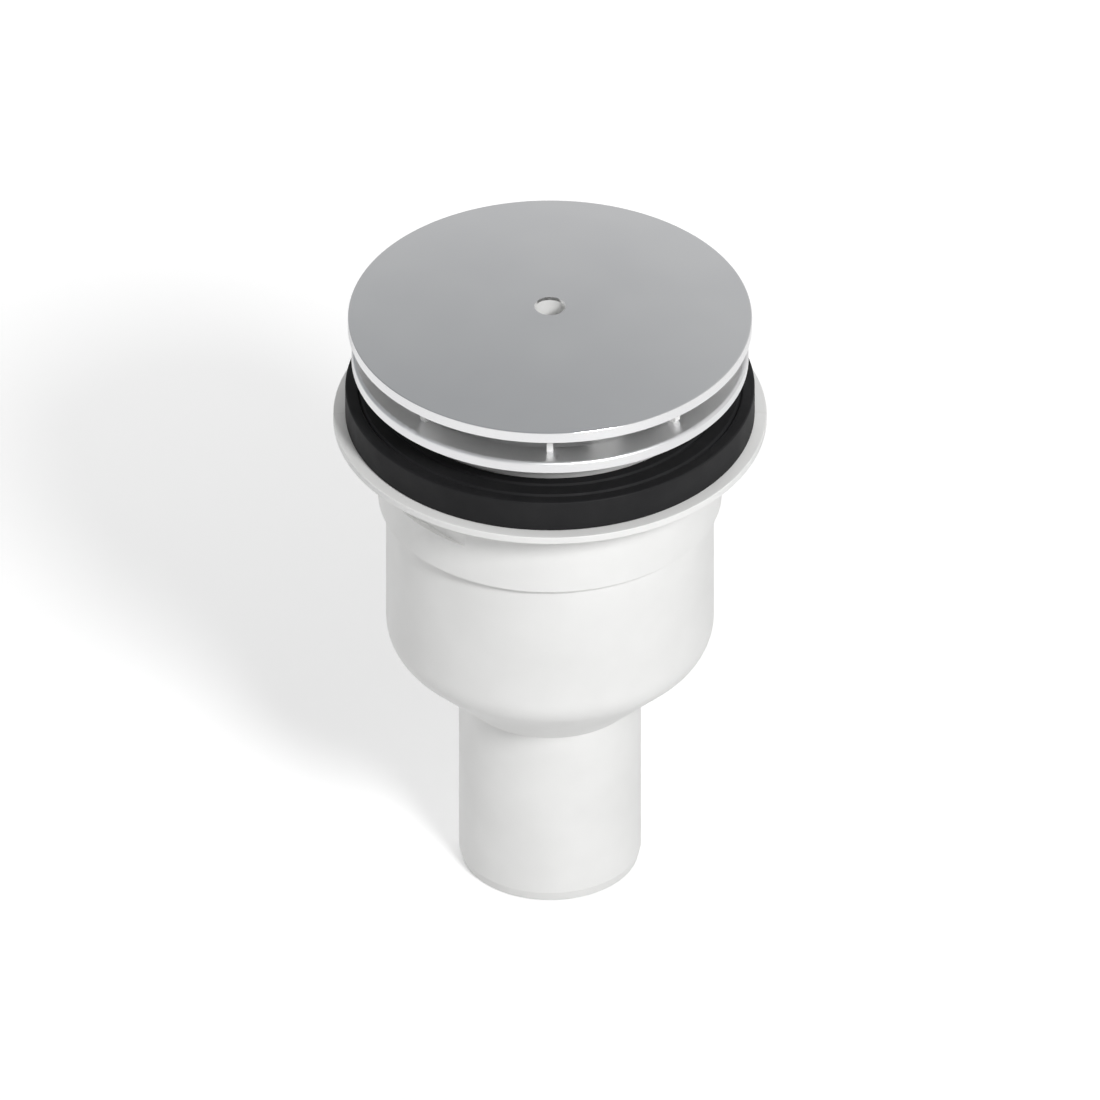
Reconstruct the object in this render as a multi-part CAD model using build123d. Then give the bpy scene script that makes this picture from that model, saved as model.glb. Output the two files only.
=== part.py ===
"""Vertical shower waste with a removable cup trap.

A funnel-shaped trap body hangs under the shower tray. The upper flange screws into it
through the tray's hole and clamps the tray on a thick gasket. The trap insert hangs in
the flange's neck, a hair sieve lies on it, and a domed cover stands over the mouth on
eight lugs, so that water runs in all round its rim.

The origin is the centre of the outlet's open end, +Z is up and -Y is the front.
"""

import os
from math import cos, radians, sqrt, tan

from build123d import *

# Lengths are in millimetres and angles in degrees.

# Outlet spigot
outlet_radius = 25.0
outlet_wall = 2.8
outlet_length = 54.9
outlet_chamfer_width = 0.7
outlet_chamfer_height = 2.8

# Cone and barrel
cone_angle = 45.0
barrel_radius = 45.0
barrel_wall = 2.8
barrel_length = 44.4
barrel_corner_radius = 10.8

# Hub, with its internal thread and two spanner flats
hub_wall = 3.3
hub_length = 25.0
thread_clearance = 0.3
spanner_flat_depth = 1.7
spanner_flat_height = 13.6
spanner_flat_directions = (45.0, 225.0)
hub_edge_rounding = 0.4

# Lower flange, and the collar that centres the gasket
lower_flange_margin = 3.3
lower_flange_thickness = 2.2
lower_flange_rounding = 0.3
collar_wall = 2.0
collar_height = 4.5

# Gasket under the tray
gasket_width = 10.1
gasket_height = 9.3
gasket_rounding = 0.5
gasket_groove_count = 2
gasket_groove_width = 1.2
gasket_groove_depth = 0.6
gasket_groove_inset = 3.7
gasket_groove_pitch = 5.0
gasket_collar_clearance = 0.2
gasket_neck_clearance = 0.7

# Tray gap at rest, and how far the screw closes it
tray_gap = 9.0
screw_down_travel = 6.0
screw_stop_gap = 0.5

# Seal over the tray
upper_seal_inset = 1.9
upper_seal_thickness = 1.9
upper_seal_play = 0.2
seal_neck_clearance = 1.0

# Threaded neck and its plate
neck_radius = 43.6
neck_wall = 3.0
neck_chamfer = 1.0
neck_root_rounding = 0.8
plain_neck_length = 11.0
thread_depth = 0.8
key_notch_count = 6
key_notch_width = 7.0
key_notch_depth = 1.1
key_notch_height = 8.0
ledge_height = 14.4
ledge_width = 2.0
ledge_thickness = 2.0
mouth_rounding = 1.2

# Pressed dish over the plate
dish_rim_height = 3.2
dish_thickness = 0.8
dish_land_width = 7.5
dish_fall_width = 4.6
dish_fall_angle = 14.0
mouth_lip_width = 1.8
dish_edge_rounding = 0.9
dish_fall_rounding = 3.0
dish_clearance = 0.15
plate_play = 0.3

# Trap insert: dip tube
insert_clearance = 0.3
insert_ring_wall = 4.1
insert_ring_height = 8.0
insert_bevel = 0.8
funnel_angle = 10.0
funnel_depth = 2.4
dip_tube_bore_radius = 17.5
dip_tube_wall = 2.0
water_seal_depth = 50.0
lift_bar_width = 3.0
lift_bar_height = 6.0
lift_bar_drop = 2.5
groove_depth = 2.3
groove_width = 3.0
groove_height = 2.6
seal_ring_section_radius = 1.25
seal_ring_fit = 0.05

# Trap insert: cup and the four tongues that hold it
cup_wall = 2.0
cup_corner_radius = 16.0
cup_rim_rounding = 0.6
cup_floor_gap = 10.0
weir_gap = 9.0
tongue_count = 4
first_tongue_direction = 45.0
tongue_width = 10.0
tongue_thickness = 2.0
tongue_length = 19.0
tongue_ledge_gap = 3.4
tongue_play = 0.2
catch_width = 5.6
catch_depth = 1.8
catch_height = 4.0
catch_top_depth = 0.5
window_play = 0.4
window_sill = 2.5

# Hair sieve
sieve_clearance = 0.7
sieve_sheet = 1.4
sieve_depth = 4.8
sieve_basket_play = 0.5
sieve_rounding = 0.8
outer_slot_count = 24
outer_slot_width = 2.2
outer_slot_inset = 2.8
inner_slot_count = 12
inner_slot_length = 5.0
inner_slot_width = 1.8
slot_ring_gap = 2.4
slot_stem_gap = 3.9
knob_stem_radius = 3.2
knob_radius = 8.0
knob_height = 12.0
knob_thickness = 3.0
knob_rounding = 1.2

# Cover plate
water_gap = 7.6
cover_overhang = 1.0
cover_rim_height = 3.15
cover_rise = 3.65
cover_sheet = 1.0
cover_edge_rounding = 0.35
cover_hole_radius = 4.3
tab_count = 4
tab_width = 8.0
tab_length = 2.2
tab_thickness = 0.8

# Cover carrier with its lugs and guide legs
carrier_play = 0.3
carrier_thickness = 1.6
carrier_rim_width = 2.6
carrier_hub_wall = 2.5
carrier_hub_depth = 6.0
carrier_hole_play = 0.2
lug_count = 8
first_lug_direction = -90.0
lug_width = 1.8
lug_inset = 5.0
lug_length = 6.0
lug_corner_height = 0.8
lug_corner_width = 0.6
rib_depth = 2.2
leg_count = 4
leg_width = 9.0
leg_thickness = 1.8
leg_clearance = 0.5
leg_depth = 12.0
leg_tip_taper = 0.8

# Radii that follow from the sizes above
outlet_bore = outlet_radius - outlet_wall
barrel_bore = barrel_radius - barrel_wall
hub_bore = neck_radius + thread_clearance
hub_radius = hub_bore + hub_wall
spanner_flat_distance = hub_radius - spanner_flat_depth
collar_radius = hub_bore + collar_wall
gasket_recess_radius = collar_radius + gasket_collar_clearance
gasket_radius = gasket_recess_radius + gasket_width
lower_flange_radius = gasket_radius + lower_flange_margin
neck_bore = neck_radius - neck_wall
thread_root_radius = neck_radius - thread_depth
ledge_bore = neck_bore - ledge_width
dish_mouth_radius = neck_bore + mouth_lip_width
dish_land_radius = dish_mouth_radius + dish_fall_width
dish_radius = dish_land_radius + dish_land_width
plate_radius = dish_radius - dish_thickness - plate_play
upper_seal_radius = plate_radius - upper_seal_inset
insert_radius = neck_bore - insert_clearance
funnel_radius = insert_radius - insert_ring_wall
dip_tube_radius = dip_tube_bore_radius + dip_tube_wall
tongue_outer = ledge_bore - tongue_ledge_gap
tongue_inner = tongue_outer - tongue_thickness
cup_radius = tongue_inner - tongue_play
cover_radius = dish_radius + cover_overhang
lug_outer_radius = dish_radius - lug_inset

# Direction of the first tab and the first leg, halfway between two lugs
between_lugs = first_lug_direction + 180 / lug_count

# Heights that follow, from the outlet's end upwards
cone_slope = tan(radians(cone_angle))
cone_top = outlet_length + (barrel_radius - outlet_radius) * cone_slope
hub_bottom = cone_top + barrel_length
lower_flange_bottom = hub_bottom + hub_length
lower_flange_top = lower_flange_bottom + lower_flange_thickness
collar_top = lower_flange_top + collar_height
gasket_top = lower_flange_top + gasket_height
plate_bottom = gasket_top + tray_gap
dish_top = plate_bottom + dish_rim_height
plate_top = dish_top - dish_thickness
hub_shoulder = hub_bottom + barrel_wall
neck_bottom = hub_shoulder + screw_down_travel + screw_stop_gap
dish_fall_slope = tan(radians(dish_fall_angle))
mouth_top = dish_top - (dish_land_radius - dish_mouth_radius) * dish_fall_slope

# The trap insert hangs on the neck's ledge
ledge_top = neck_bottom + ledge_height
insert_top = ledge_top + insert_ring_height
weir = ledge_top - weir_gap
dip_tube_bottom = weir - water_seal_depth
cup_floor = dip_tube_bottom - cup_floor_gap
cup_bottom = cup_floor - cup_wall
tongue_bottom = ledge_top - tongue_length
sill_top = tongue_bottom + window_sill

# Cover heights: the lugs stand on the dish's flat land
cover_rim_bottom = dish_top + water_gap
cover_rim_top = cover_rim_bottom + cover_rim_height
crown = cover_rim_top + cover_rise
dome_radius = (cover_radius**2 + cover_rise**2) / (2 * cover_rise)
carrier_radius = cover_radius - cover_sheet - carrier_play
carrier_seat = cover_rim_bottom + tab_thickness


def turned(*corners):
    """Turn a closed outline of (radius, height) or (radius, height, rounding) corners."""
    points = [corner[:2] for corner in corners]
    roundings = [corner[2] if len(corner) == 3 else 0 for corner in corners]
    outline = FilletPolyline(*points, radius=roundings, close=True)
    return revolve(Plane.XZ * make_face(outline), Axis.Z)


def sector(inner, outer, width, bottom, top, angle):
    """A piece of ring as wide as given, with its middle in the direction of angle."""
    ring = turned((inner, bottom), (outer, bottom), (outer, top), (inner, top))
    middle = Pos((inner + outer) / 2, 0, (bottom + top) / 2)
    bar = middle * Box(2 * (outer - inner) + width, width, top - bottom)
    return Rot(0, 0, angle) * (ring & bar)


def around(count, first=0.0):
    """Directions of equally spaced copies, in degrees from +X."""
    return [first + 360 / count * index for index in range(count)]


def dome_height(radius, depth=0.0):
    """Height of the cover's dome, or of the surface a depth under it, at a radius."""
    centre = crown - dome_radius
    return centre + sqrt((dome_radius - depth) ** 2 - radius**2)


def dome_arc(inner, outer, depth=0.0):
    """Arc of the dome, or of the surface a depth under it, between two radii."""
    stations = (inner, (inner + outer) / 2, outer)
    return ThreePointArc(*[(radius, dome_height(radius, depth)) for radius in stations])


def make_trap_body():
    """Moulded body: spigot, cone, barrel, threaded hub, lower flange and collar."""
    wall_rise = barrel_wall / cos(radians(cone_angle))
    inner_cone_bottom = outlet_length + wall_rise - (outlet_radius - outlet_bore) * cone_slope
    inner_cone_top = inner_cone_bottom + (barrel_bore - outlet_bore) * cone_slope
    body = turned(
        (outlet_bore, 0),
        (outlet_radius - outlet_chamfer_width, 0),
        (outlet_radius, outlet_chamfer_height),
        (outlet_radius, outlet_length),
        (barrel_radius, cone_top, barrel_corner_radius),
        (barrel_radius, hub_bottom),
        (hub_radius, hub_bottom, hub_edge_rounding),
        (hub_radius, lower_flange_bottom),
        (lower_flange_radius, lower_flange_bottom, lower_flange_rounding),
        (lower_flange_radius, lower_flange_top, lower_flange_rounding),
        (collar_radius, lower_flange_top),
        (collar_radius, collar_top),
        (hub_bore, collar_top),
        (hub_bore, hub_shoulder),
        (barrel_bore, hub_shoulder),
        (barrel_bore, inner_cone_top, barrel_corner_radius - barrel_wall),
        (outlet_bore, inner_cone_bottom),
    )
    pocket_depth = hub_radius - spanner_flat_distance
    pocket_middle = lower_flange_bottom - spanner_flat_height / 2
    pocket = Pos(spanner_flat_distance + pocket_depth, 0, pocket_middle) * Box(
        2 * pocket_depth, 2 * hub_radius, spanner_flat_height
    )
    for direction in spanner_flat_directions:
        body -= Rot(0, 0, direction) * pocket
    return body


def make_tray_gasket():
    """Thick rubber ring on the lower flange, with a lip over the collar and grooves on top."""
    lip_bore = neck_radius + gasket_neck_clearance
    lip_bottom = collar_top + gasket_collar_clearance
    grooves = []
    for index in range(gasket_groove_count):
        middle = gasket_radius - gasket_groove_inset - gasket_groove_pitch * index
        grooves += [
            (middle + gasket_groove_width / 2, gasket_top),
            (middle, gasket_top - gasket_groove_depth),
            (middle - gasket_groove_width / 2, gasket_top),
        ]
    return turned(
        (gasket_recess_radius, lower_flange_top),
        (gasket_radius, lower_flange_top, gasket_rounding),
        (gasket_radius, gasket_top, gasket_rounding),
        *grooves,
        (lip_bore, gasket_top),
        (lip_bore, lip_bottom),
        (gasket_recess_radius, lip_bottom),
    )


def make_flange_seal():
    """Flat washer between the upper flange and the tray."""
    bore = neck_radius + seal_neck_clearance
    top = plate_bottom - upper_seal_play
    bottom = top - upper_seal_thickness
    return turned(
        (bore, bottom),
        (upper_seal_radius, bottom),
        (upper_seal_radius, top),
        (bore, top),
    )


def make_flange_neck():
    """Moulded plate and neck, with the insert's ledge and notches for the fitting key.

    The neck has the thread's root radius where the screw thread winds round it.
    """
    depth = dish_thickness + dish_clearance
    sheet_drop = depth / cos(radians(dish_fall_angle))
    recess_edge = dish_land_radius + (sheet_drop - dish_thickness) / dish_fall_slope
    mouth_edge = dish_mouth_radius - dish_clearance
    recess_bottom = dish_top - (dish_land_radius - mouth_edge) * dish_fall_slope - sheet_drop
    lip_top = mouth_top - dish_clearance
    plain_neck_bottom = plate_bottom - plain_neck_length
    neck = turned(
        (neck_bore, neck_bottom),
        (thread_root_radius - neck_chamfer, neck_bottom),
        (thread_root_radius, neck_bottom + neck_chamfer),
        (thread_root_radius, plain_neck_bottom - thread_depth),
        (neck_radius, plain_neck_bottom),
        (neck_radius, plate_bottom, neck_root_rounding),
        (plate_radius, plate_bottom),
        (plate_radius, plate_top),
        (recess_edge, plate_top, dish_fall_rounding - dish_thickness),
        (mouth_edge, recess_bottom),
        (mouth_edge, lip_top),
        (neck_bore, lip_top, mouth_rounding),
        (neck_bore, ledge_top),
        (ledge_bore, ledge_top),
        (ledge_bore, ledge_top - ledge_thickness),
        (neck_bore, ledge_top - ledge_thickness - ledge_width),
    )
    notch = Pos(neck_bore, 0, lip_top) * Box(
        2 * key_notch_depth, key_notch_width, 2 * key_notch_height
    )
    for angle in around(key_notch_count, first_lug_direction):
        neck -= Rot(0, 0, angle) * notch
    return neck


def make_flange_dish():
    """Pressed metal dish that wraps the plate and falls into the mouth."""
    surface = FilletPolyline(
        (dish_radius, plate_bottom),
        (dish_radius, dish_top),
        (dish_land_radius, dish_top),
        (dish_mouth_radius, mouth_top),
        radius=[dish_edge_rounding, dish_fall_rounding],
    )
    sheet = offset(surface, amount=dish_thickness, side=Side.LEFT)
    return revolve(Plane.XZ * make_face(sheet), Axis.Z)


def make_dip_tube():
    """Upper half of the trap insert: sealed ring, funnel, dip tube, lifting bar and tongues."""
    funnel_slope = tan(radians(funnel_angle))
    funnel_rim = ledge_top + funnel_depth
    funnel_throat = funnel_rim - (funnel_radius - dip_tube_bore_radius) * funnel_slope
    under_throat = ledge_top - (funnel_radius - dip_tube_radius) * funnel_slope
    groove_bottom = ledge_top + groove_height
    groove_radius = insert_radius - groove_depth
    tube = turned(
        (dip_tube_bore_radius, dip_tube_bottom),
        (dip_tube_radius, dip_tube_bottom),
        (dip_tube_radius, under_throat),
        (funnel_radius, ledge_top),
        (insert_radius, ledge_top),
        (insert_radius, groove_bottom),
        (groove_radius, groove_bottom),
        (groove_radius, groove_bottom + groove_width),
        (insert_radius, groove_bottom + groove_width),
        (insert_radius, insert_top - insert_bevel),
        (insert_radius - insert_bevel, insert_top),
        (funnel_radius, insert_top),
        (funnel_radius, funnel_rim),
        (dip_tube_bore_radius, funnel_throat, dip_tube_wall),
    )
    lift_bar_top = funnel_throat - lift_bar_drop
    tube += Pos(0, 0, lift_bar_top - lift_bar_height / 2) * Box(
        2 * dip_tube_bore_radius + dip_tube_wall, lift_bar_width, lift_bar_height
    )
    tongue_top = ledge_top + funnel_depth / 4
    window_width = catch_width + 2 * window_play
    window_height = catch_height + window_play
    for angle in around(tongue_count, first_tongue_direction):
        tongue = sector(tongue_inner, tongue_outer, tongue_width, tongue_bottom, tongue_top, angle)
        window = Pos(tongue_outer, 0, sill_top + window_height / 2) * Box(
            4 * tongue_thickness, window_width, window_height
        )
        tube += tongue - Rot(0, 0, angle) * window
    return tube


def make_insert_ring():
    """Rubber ring in the insert's groove, sealing against the neck's bore."""
    centre_radius = insert_radius - groove_depth + seal_ring_fit + seal_ring_section_radius
    height = ledge_top + groove_height + groove_width / 2
    return Pos(0, 0, height) * Torus(centre_radius, seal_ring_section_radius)


def make_trap_cup():
    """Lower half of the trap insert: a cup whose rim is the weir, with four catches."""
    cup = turned(
        (0, cup_bottom),
        (cup_radius, cup_bottom, cup_corner_radius),
        (cup_radius, weir, cup_rim_rounding),
        (cup_radius - cup_wall, weir, cup_rim_rounding),
        (cup_radius - cup_wall, cup_floor, cup_corner_radius - cup_wall),
        (0, cup_floor),
    )
    root = cup_radius - cup_wall / 2
    catch_outline = Polyline(
        (root, sill_top),
        (cup_radius + catch_depth, sill_top),
        (cup_radius + catch_top_depth, sill_top + catch_height),
        (root, sill_top + catch_height),
        close=True,
    )
    catch = extrude(Plane.XZ * make_face(catch_outline), catch_width / 2, both=True)
    for angle in around(tongue_count, first_tongue_direction):
        cup += Rot(0, 0, angle) * catch
    return cup


def slot_ring(count, inner, outer, width):
    """Radial slots through the sieve's floor between two radii, as one cutter."""
    slots = Sketch()
    for angle in around(count):
        slots += Rot(0, 0, angle) * Pos((inner + outer) / 2, 0) * SlotOverall(outer - inner, width)
    floor_bottom = insert_top - sieve_depth
    return extrude(Pos(0, 0, floor_bottom - sieve_sheet) * slots, 3 * sieve_sheet)


def make_hair_sieve():
    """Shallow slotted basket that lies on the insert, with a knob to lift it by."""
    rim_radius = neck_bore - sieve_clearance
    basket_radius = funnel_radius - sieve_basket_play
    basket_inner = basket_radius - sieve_sheet
    rim_top = insert_top + sieve_sheet
    floor_top = rim_top - sieve_depth
    floor_bottom = floor_top - sieve_sheet
    knob_top = floor_top + knob_height
    basket = turned(
        (0, floor_bottom),
        (basket_radius, floor_bottom, sieve_rounding),
        (basket_radius, insert_top),
        (rim_radius, insert_top),
        (rim_radius, rim_top),
        (basket_inner, rim_top, sieve_rounding),
        (basket_inner, floor_top),
        (knob_stem_radius, floor_top, knob_rounding),
        (knob_stem_radius, knob_top - knob_thickness, knob_rounding),
        (knob_radius, knob_top - knob_thickness, knob_rounding),
        (knob_radius, knob_top, knob_rounding),
        (0, knob_top),
    )
    inner_start = knob_stem_radius + slot_stem_gap
    inner_end = inner_start + inner_slot_length
    outer_start = inner_end + slot_ring_gap
    outer_end = basket_inner - outer_slot_inset
    basket -= slot_ring(inner_slot_count, inner_start, inner_end, inner_slot_width)
    basket -= slot_ring(outer_slot_count, outer_start, outer_end, outer_slot_width)
    return basket


def make_cover_plate():
    """Pressed domed plate with a turned-down rim, a lifting hole and four bent tabs."""
    inner_radius = cover_radius - cover_sheet
    section = [
        dome_arc(cover_hole_radius, cover_radius),
        Polyline(
            (cover_radius, cover_rim_top),
            (cover_radius, cover_rim_bottom),
            (inner_radius, cover_rim_bottom),
            (inner_radius, dome_height(inner_radius, cover_sheet)),
        ),
        dome_arc(cover_hole_radius, inner_radius, cover_sheet),
        Line(
            (cover_hole_radius, dome_height(cover_hole_radius, cover_sheet)),
            (cover_hole_radius, dome_height(cover_hole_radius)),
        ),
    ]
    plate = revolve(Plane.XZ * make_face(section), Axis.Z)
    corner = plate.edges().filter_by(GeomType.CIRCLE).filter_by_position(
        Axis.Z, cover_rim_top - 0.01, cover_rim_top + 0.01
    )
    plate = fillet(corner.sort_by(SortBy.RADIUS)[-1:], cover_edge_rounding)
    for angle in around(tab_count, between_lugs):
        plate += sector(
            inner_radius - tab_length,
            inner_radius + cover_sheet / 2,
            tab_width,
            cover_rim_bottom,
            carrier_seat,
            angle,
        )
    return plate


def make_lug_rib():
    """Radial rib under the carrier's disc, whose outer end drops to the dish as a lug."""
    hub_middle = cover_hole_radius + carrier_hole_play + carrier_hub_wall / 2
    lug_inner = lug_outer_radius - lug_length
    in_disc = cover_sheet + carrier_thickness / 2
    rib_bottom = dome_height(lug_outer_radius, cover_sheet + carrier_thickness) - rib_depth
    outline = Polyline(
        (hub_middle, dome_height(hub_middle, in_disc)),
        (hub_middle, rib_bottom),
        (lug_inner - lug_corner_height, rib_bottom),
        (lug_inner, dish_top),
        (lug_outer_radius - lug_corner_width, dish_top),
        (lug_outer_radius, dish_top + lug_corner_height),
        (lug_outer_radius, dome_height(lug_outer_radius, in_disc)),
        close=True,
    )
    return extrude(Plane.XZ * make_face(outline), lug_width / 2, both=True)


def make_guide_leg():
    """Leg that drops into the neck's bore and keeps the cover centred."""
    outer = neck_bore - leg_clearance
    inner = outer - leg_thickness
    top = dome_height(outer, cover_sheet + carrier_thickness / 2)
    bottom = dish_top - leg_depth
    blade = turned(
        (inner, bottom),
        (outer - leg_tip_taper, bottom),
        (outer, bottom + 2 * leg_tip_taper),
        (outer, top),
        (inner, top),
    )
    return blade & Pos(outer, 0, top) * Box(leg_width, leg_width, 4 * leg_depth)


def make_cover_carrier():
    """Moulded disc inside the cover plate, with a hub, eight lugs and four guide legs."""
    hole = cover_hole_radius + carrier_hole_play
    hub = hole + carrier_hub_wall
    rim_inner = carrier_radius - carrier_rim_width
    under = cover_sheet + carrier_thickness
    hub_bottom_height = dome_height(hub, under) - carrier_hub_depth
    section = [
        dome_arc(hole, carrier_radius, cover_sheet),
        Polyline(
            (carrier_radius, dome_height(carrier_radius, cover_sheet)),
            (carrier_radius, carrier_seat),
            (rim_inner, carrier_seat),
            (rim_inner, dome_height(rim_inner, under)),
        ),
        dome_arc(hub, rim_inner, under),
        Polyline(
            (hub, dome_height(hub, under)),
            (hub, hub_bottom_height),
            (hole, hub_bottom_height),
            (hole, dome_height(hole, cover_sheet)),
        ),
    ]
    carrier = revolve(Plane.XZ * make_face(section), Axis.Z)
    rib = make_lug_rib()
    for angle in around(lug_count, first_lug_direction):
        carrier += Rot(0, 0, angle) * rib
    leg = make_guide_leg()
    for angle in around(leg_count, between_lugs):
        carrier += Rot(0, 0, angle) * leg
    return carrier


nodes = {
    "trap_body": make_trap_body,
    "tray_gasket": make_tray_gasket,
    "flange_seal": make_flange_seal,
    "flange_neck": make_flange_neck,
    "flange_dish": make_flange_dish,
    "dip_tube": make_dip_tube,
    "insert_ring": make_insert_ring,
    "trap_cup": make_trap_cup,
    "hair_sieve": make_hair_sieve,
    "cover_carrier": make_cover_carrier,
    "cover_plate": make_cover_plate,
}

os.makedirs("parts", exist_ok=True)
for name, make in nodes.items():
    export_step(make(), f"parts/{name}.step")
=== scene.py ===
import math

import bmesh
import bpy
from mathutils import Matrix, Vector


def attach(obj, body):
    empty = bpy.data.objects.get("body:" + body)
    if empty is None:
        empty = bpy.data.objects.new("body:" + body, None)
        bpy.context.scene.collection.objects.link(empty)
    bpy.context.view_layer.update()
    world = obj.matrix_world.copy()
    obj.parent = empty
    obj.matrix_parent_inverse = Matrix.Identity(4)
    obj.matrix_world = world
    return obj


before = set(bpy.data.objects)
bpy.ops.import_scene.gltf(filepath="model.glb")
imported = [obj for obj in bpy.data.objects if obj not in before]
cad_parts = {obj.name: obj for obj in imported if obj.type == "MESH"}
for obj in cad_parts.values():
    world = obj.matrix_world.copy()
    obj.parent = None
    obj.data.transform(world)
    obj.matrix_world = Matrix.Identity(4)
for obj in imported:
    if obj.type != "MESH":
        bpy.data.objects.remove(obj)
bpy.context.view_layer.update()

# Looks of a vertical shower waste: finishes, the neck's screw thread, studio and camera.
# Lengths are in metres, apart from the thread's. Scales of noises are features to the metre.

# View of the drawing, which is isometric and has one scale of its own
IMAGE_SIDE = 1100
PIXELS_PER_METRE = 3645.0
IMAGE_CENTRE_HEIGHT = 0.1004
ISOMETRIC_ELEVATION = math.atan(1 / math.sqrt(2))
CAMERA_DISTANCE = 1.5
CAMERA_CLIP = (0.01, 20)

# Screw thread on the flange's neck, in millimetres
MILLIMETRE = 0.001
THREAD_CREST_RADIUS = 43.6
THREAD_DEPTH = 0.8
THREAD_PITCH = 3.0
THREAD_BOTTOM = 130.4
THREAD_TOP = 153.0
THREAD_CREST_WIDTH = 1.0
THREAD_FOOT_WIDTH = 2.0
THREAD_SINK = 0.3
THREAD_STEPS_PER_TURN = 96
THREAD_RUN_OUT_STEPS = 16
THREAD_END_STEPS = 0.2
SHARP_DEGREES = 32

# Part of a noise's range that nearly all its values lie in
NOISE_RANGE = (0.3, 0.7)

# Moulded surfaces: drift in colour and gloss, spark-eroded grain, flash line of the mould
MOULDED_COLOUR_SCALE = 55
MOULDED_GLOSS_SCALE = 130
MOULDED_GLOSS_DRIFT = (-0.04, 0.05)
GRAIN_SCALE = 1500
GRAIN_DEPTH = 0.00003
GRAIN_STRENGTH = 0.5
COAT_ROUGHNESS = 0.15
FLASH_HALF_WIDTH = 0.00022
FLASH_HEIGHT = 0.00008

# Pressed steel: drift in colour and gloss, polishing lines round the axis
STEEL_COLOUR_SCALE = 35
STEEL_GLOSS_DRIFT = (-0.03, 0.04)
POLISH_SCALE = 2600
POLISH_DEPTH = 0.000004
POLISH_STRENGTH = 0.6

# Studio: the dome shows only in reflections, and it darkens from its foot towards its top
DOME_TOP = (-0.5, 0.1, 0.95)
DOME_TOP_AT = 0.95
DOME_TOP_COLOUR = (0.3, 0.31, 0.32, 1)
DOME_FOOT_COLOUR = (0.76, 0.76, 0.76, 1)
AMBIENT_COLOUR = (0.26, 0.26, 0.26, 1)
WHITE = (1, 1, 1, 1)
LAMP_TARGET = (0, 0, 0.1)

# Floor: it glows a little for the camera, more so further out, so that it fades into white
FLOOR_REACH = 4.0
FLOOR_LEVEL = -0.0002
FLOOR_COLOUR = (0.72, 0.72, 0.72, 1)
FLOOR_ROUGHNESS = 0.9
FLOOR_SPECULAR = 0.1
GLOW_DISTANCES = (0.1, 1.2)
GLOW_STRENGTHS = (0.39, 0.85)
REFLECTED_GLOW = 0.25

# Sockets of a Mix node that mixes colours
MIX_FACTOR = 0
MIX_FIRST = 6
MIX_SECOND = 7
MIX_RESULT = 2


def feed(tree, node, inputs):
    """Fixes the node's inputs, or links those that are given another node's output."""
    for name, value in inputs.items():
        if isinstance(value, bpy.types.NodeSocket):
            tree.links.new(value, node.inputs[name])
        else:
            node.inputs[name].default_value = value


def add(tree, kind, inputs=None, **properties):
    """A shader node with its properties set and its inputs fed."""
    node = tree.nodes.new(kind)
    for name, value in properties.items():
        setattr(node, name, value)
    feed(tree, node, inputs or {})
    return node


def object_point(tree):
    return add(tree, "ShaderNodeTexCoord").outputs["Object"]


def noise(tree, scale, detail=2.0):
    """A noise texture in object space."""
    inputs = {"Vector": object_point(tree), "Scale": scale, "Detail": detail}
    return add(tree, "ShaderNodeTexNoise", inputs).outputs["Fac"]


def map_range(tree, value, source, target, **properties):
    """The value moved from the source range to the target range."""
    inputs = {"Value": value, "From Min": source[0], "From Max": source[1],
              "To Min": target[0], "To Max": target[1]}
    return add(tree, "ShaderNodeMapRange", inputs, **properties).outputs["Result"]


def calculate(tree, operation, *values):
    return add(tree, "ShaderNodeMath", dict(enumerate(values)), operation=operation).outputs[0]


def vector_maths(tree, operation, *vectors):
    return add(tree, "ShaderNodeVectorMath", dict(enumerate(vectors)), operation=operation)


def mix_colours(tree, factor, first, second):
    inputs = {MIX_FACTOR: factor, MIX_FIRST: first, MIX_SECOND: second}
    return add(tree, "ShaderNodeMix", inputs, data_type="RGBA").outputs[MIX_RESULT]


def bump(tree, height, depth, strength=1.0, under=None):
    """Normal of a height field on the normal under it; depth is the field's full depth."""
    inputs = {"Height": height, "Distance": depth, "Strength": strength}
    if under:
        inputs["Normal"] = under
    return add(tree, "ShaderNodeBump", inputs).outputs["Normal"]


def new_material(name):
    """A material and its node tree."""
    material = bpy.data.materials.new(name)
    material.use_nodes = True
    return material, material.node_tree


def feed_surface(tree, inputs):
    feed(tree, tree.nodes["Principled BSDF"], inputs)


def drifting_colour(tree, colours, scale):
    """Colour that drifts between two close ones."""
    drift = map_range(tree, noise(tree, scale), NOISE_RANGE, (0, 1))
    return mix_colours(tree, drift, (*colours[0], 1), (*colours[1], 1))


def drifting_roughness(tree, value, roughness, drift):
    """Roughness that a noise's value moves by the two ends of drift."""
    return map_range(tree, value, NOISE_RANGE, (roughness + drift[0], roughness + drift[1]))


def flash_line(tree):
    """Normal of the fine flash line that the mould leaves in the plane y = 0."""
    parts = add(tree, "ShaderNodeSeparateXYZ", {0: object_point(tree)})
    away = calculate(tree, "ABSOLUTE", parts.outputs["Y"])
    ridge = map_range(tree, away, (0.0, FLASH_HALF_WIDTH), (1.0, 0.0),
                      interpolation_type="SMOOTHSTEP")
    return bump(tree, ridge, FLASH_HEIGHT)


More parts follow.
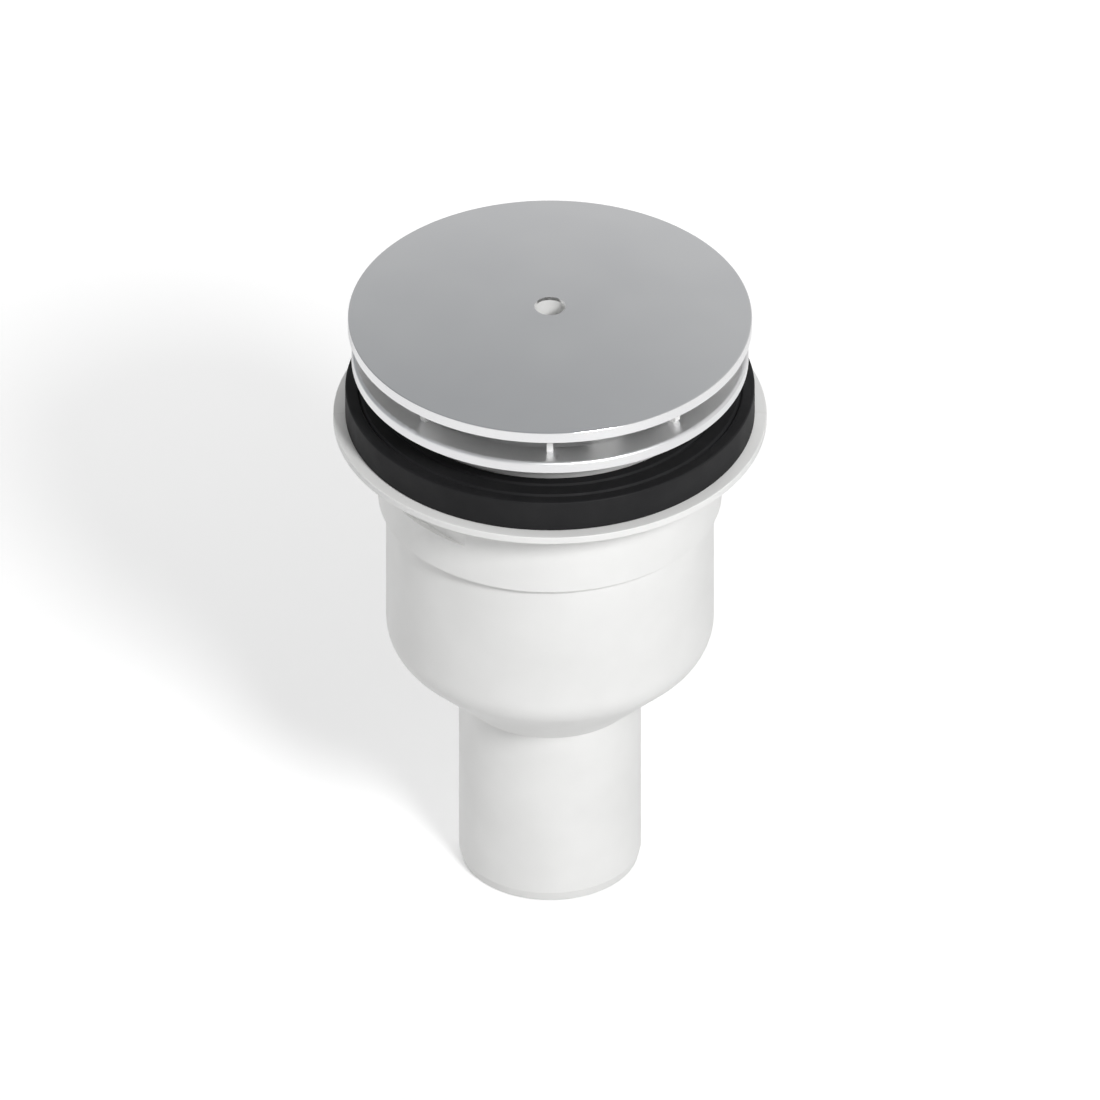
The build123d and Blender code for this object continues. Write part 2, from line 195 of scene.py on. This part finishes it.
def moulded(name, colours, roughness, grain_depth=GRAIN_DEPTH, grain_scale=GRAIN_SCALE,
            coat=0.0, specular=0.5, parted=False):
    """Moulded plastic or rubber, with the mould's flash line where it is parted."""
    material, tree = new_material(name)
    patches = noise(tree, MOULDED_GLOSS_SCALE)
    grain = noise(tree, grain_scale, detail=3)
    under = flash_line(tree) if parted else None
    feed_surface(tree, {
        "Base Color": drifting_colour(tree, colours, MOULDED_COLOUR_SCALE),
        "Roughness": drifting_roughness(tree, patches, roughness, MOULDED_GLOSS_DRIFT),
        "Specular IOR Level": specular,
        "Coat Weight": coat,
        "Coat Roughness": COAT_ROUGHNESS,
        "Normal": bump(tree, grain, grain_depth, GRAIN_STRENGTH, under),
    })
    return material


def pressed_steel(name, colours, roughness):
    """Bright stainless steel with faint polishing lines round the axis."""
    material, tree = new_material(name)
    flat = vector_maths(tree, "MULTIPLY", object_point(tree), (1, 1, 0)).outputs["Vector"]
    radius = vector_maths(tree, "LENGTH", flat).outputs["Value"]
    rings = add(tree, "ShaderNodeTexNoise", {"W": radius, "Scale": POLISH_SCALE, "Detail": 3},
                noise_dimensions="1D")
    lines = rings.outputs["Fac"]
    feed_surface(tree, {
        "Base Color": drifting_colour(tree, colours, STEEL_COLOUR_SCALE),
        "Metallic": 1.0,
        "Roughness": drifting_roughness(tree, lines, roughness, STEEL_GLOSS_DRIFT),
        "Normal": bump(tree, lines, POLISH_DEPTH, POLISH_STRENGTH),
    })
    return material


def sweep(mesh, sections):
    """Adds the closed skin over a row of sections, which all have the same number of points."""
    rings = [[mesh.verts.new(Vector(point) * MILLIMETRE) for point in section]
             for section in sections]
    mesh.faces.new(rings[0])
    mesh.faces.new(rings[-1])
    for ring, after in zip(rings, rings[1:]):
        for index in range(len(ring)):
            mesh.faces.new((ring[index - 1], ring[index], after[index], after[index - 1]))


def thread_section(step, last_step):
    """Section of the thread's ridge at a step, lower near both ends of the thread."""
    turns = step / THREAD_STEPS_PER_TURN
    angle = 2 * math.pi * turns
    middle = THREAD_BOTTOM + THREAD_FOOT_WIDTH / 2 + THREAD_PITCH * turns
    from_end = min(step, last_step - step) + THREAD_END_STEPS
    root = THREAD_CREST_RADIUS - THREAD_DEPTH
    crest = root + THREAD_DEPTH * min(1.0, from_end / THREAD_RUN_OUT_STEPS)
    corners = (
        (root - THREAD_SINK, -THREAD_FOOT_WIDTH / 2),
        (root, -THREAD_FOOT_WIDTH / 2),
        (crest, -THREAD_CREST_WIDTH / 2),
        (crest, THREAD_CREST_WIDTH / 2),
        (root, THREAD_FOOT_WIDTH / 2),
        (root - THREAD_SINK, THREAD_FOOT_WIDTH / 2),
    )
    return [(radius * math.cos(angle), radius * math.sin(angle), middle + offset)
            for radius, offset in corners]


def add_object(name, data):
    piece = bpy.data.objects.new(name, data)
    bpy.context.collection.objects.link(piece)
    return piece


def make_neck_thread(material):
    """Right-handed ridge round the neck of the flange, which has the thread's root radius."""
    height = THREAD_TOP - THREAD_BOTTOM - THREAD_FOOT_WIDTH
    last_step = int(height / THREAD_PITCH * THREAD_STEPS_PER_TURN)
    mesh = bmesh.new()
    sweep(mesh, [thread_section(step, last_step) for step in range(last_step + 1)])
    bmesh.ops.recalc_face_normals(mesh, faces=mesh.faces)
    data = bpy.data.meshes.new("neck_thread")
    mesh.to_mesh(data)
    mesh.free()
    data.shade_smooth()
    data.set_sharp_from_angle(angle=math.radians(SHARP_DEGREES))
    data.materials.append(material)
    thread = add_object("neck_thread", data)
    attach(thread, "upper_flange")


def aim(thing, place, target):
    thing.location = place
    thing.rotation_mode = "QUATERNION"
    thing.rotation_quaternion = (Vector(target) - Vector(place)).to_track_quat("-Z", "Y")


def make_camera():
    data = bpy.data.cameras.new("camera")
    data.type = "ORTHO"
    data.ortho_scale = IMAGE_SIDE / PIXELS_PER_METRE
    data.clip_start, data.clip_end = CAMERA_CLIP
    camera = add_object("camera", data)
    target = Vector((0, 0, IMAGE_CENTRE_HEIGHT))
    back = Vector((0, -math.cos(ISOMETRIC_ELEVATION), math.sin(ISOMETRIC_ELEVATION)))
    aim(camera, target + back * CAMERA_DISTANCE, target)
    bpy.context.scene.camera = camera


def make_lamp(name, place, diameter, watts, mirrored=True):
    """A round soft lamp; one that isn't mirrored lights the part but shows in no reflection."""
    data = bpy.data.lights.new(name, "AREA")
    data.shape = "DISK"
    data.size = diameter
    data.energy = watts
    lamp = add_object(name, data)
    lamp.visible_glossy = mirrored
    aim(lamp, place, LAMP_TARGET)


def seen_directly(tree, rays):
    """One where the camera sees the surface, straight or through something clear."""
    return calculate(tree, "MAXIMUM", rays["Is Camera Ray"], rays["Is Transmission Ray"])


def make_world():
    """White to the camera, an even grey for light, and a graded dome for reflections."""
    world = bpy.data.worlds.new("studio")
    bpy.context.scene.world = world
    world.use_nodes = True
    tree = world.node_tree
    rays = add(tree, "ShaderNodeLightPath").outputs
    direction = add(tree, "ShaderNodeTexCoord").outputs["Generated"]
    height = vector_maths(tree, "DOT_PRODUCT", direction, DOME_TOP).outputs["Value"]
    dome = add(tree, "ShaderNodeValToRGB", {0: height})
    foot, top = dome.color_ramp.elements
    foot.position, foot.color = 0.0, DOME_FOOT_COLOUR
    top.position, top.color = DOME_TOP_AT, DOME_TOP_COLOUR
    light = mix_colours(tree, rays["Is Glossy Ray"], AMBIENT_COLOUR, dome.outputs["Color"])
    colour = mix_colours(tree, seen_directly(tree, rays), light, WHITE)
    feed(tree, tree.nodes["Background"], {"Color": colour})


def make_floor():
    """A plain pale floor that fades into the white of the world."""
    corners = [(x * FLOOR_REACH, y * FLOOR_REACH, FLOOR_LEVEL)
               for x, y in ((-1, -1), (1, -1), (1, 1), (-1, 1))]
    mesh = bpy.data.meshes.new("floor")
    mesh.from_pydata(corners, [], [(0, 1, 2, 3)])
    material, tree = new_material("floor")
    rays = add(tree, "ShaderNodeLightPath").outputs
    distance = vector_maths(tree, "LENGTH", object_point(tree)).outputs["Value"]
    glow = map_range(tree, distance, GLOW_DISTANCES, GLOW_STRENGTHS)
    reflected = calculate(tree, "MULTIPLY", rays["Is Glossy Ray"], REFLECTED_GLOW)
    feed_surface(tree, {
        "Base Color": FLOOR_COLOUR,
        "Roughness": FLOOR_ROUGHNESS,
        "Specular IOR Level": FLOOR_SPECULAR,
        "Emission Color": WHITE,
        "Emission Strength": calculate(tree, "MULTIPLY_ADD", seen_directly(tree, rays), glow,
                                       reflected),
    })
    mesh.materials.append(material)
    add_object("floor", mesh)


make_camera()
make_world()
make_floor()
make_lamp("key", place=(0.6, -1.2, 1.2), diameter=0.4, watts=20)
make_lamp("fill", place=(-1.2, -0.7, 0.5), diameter=1.2, watts=0.8)
make_lamp("rim", place=(-1.3, 0.5, 0.8), diameter=0.8, watts=4.5, mirrored=False)
make_lamp("back", place=(0.3, 1.45, 0.8), diameter=1.2, watts=9, mirrored=False)

white_body = moulded(
    "white_body", ((0.86, 0.86, 0.85), (0.9, 0.9, 0.89)), roughness=0.42, parted=True)
black_rubber = moulded(
    "black_rubber", ((0.011, 0.011, 0.012), (0.017, 0.017, 0.018)), roughness=0.62,
    grain_depth=0.00006, grain_scale=1100, specular=0.2)
dark_seal = moulded(
    "dark_seal", ((0.025, 0.025, 0.027), (0.035, 0.035, 0.037)), roughness=0.6)
white_neck = moulded(
    "white_neck", ((0.88, 0.88, 0.87), (0.91, 0.91, 0.9)), roughness=0.25, coat=0.2)
insert_grey = moulded(
    "insert_grey", ((0.78, 0.79, 0.8), (0.82, 0.83, 0.84)), roughness=0.38)
sieve_grey = moulded(
    "sieve_grey", ((0.56, 0.58, 0.6), (0.61, 0.63, 0.65)), roughness=0.4)
carrier_white = moulded(
    "carrier_white", ((0.84, 0.84, 0.83), (0.88, 0.88, 0.87)), roughness=0.4)
dish_steel = pressed_steel(
    "dish_steel", ((0.85, 0.85, 0.86), (0.89, 0.89, 0.895)), roughness=0.34)
cover_steel = pressed_steel(
    "cover_steel", ((0.87, 0.87, 0.88), (0.91, 0.91, 0.915)), roughness=0.13)

finishes = {
    "trap_body": white_body,
    "tray_gasket": black_rubber,
    "flange_seal": dark_seal,
    "insert_ring": dark_seal,
    "flange_neck": white_neck,
    "flange_dish": dish_steel,
    "dip_tube": insert_grey,
    "trap_cup": insert_grey,
    "hair_sieve": sieve_grey,
    "cover_carrier": carrier_white,
    "cover_plate": cover_steel,
}
for node, finish in finishes.items():
    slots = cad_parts[node].data.materials
    slots.clear()
    slots.append(finish)
make_neck_thread(white_neck)

bpy.context.scene.view_settings.view_transform = "Standard"
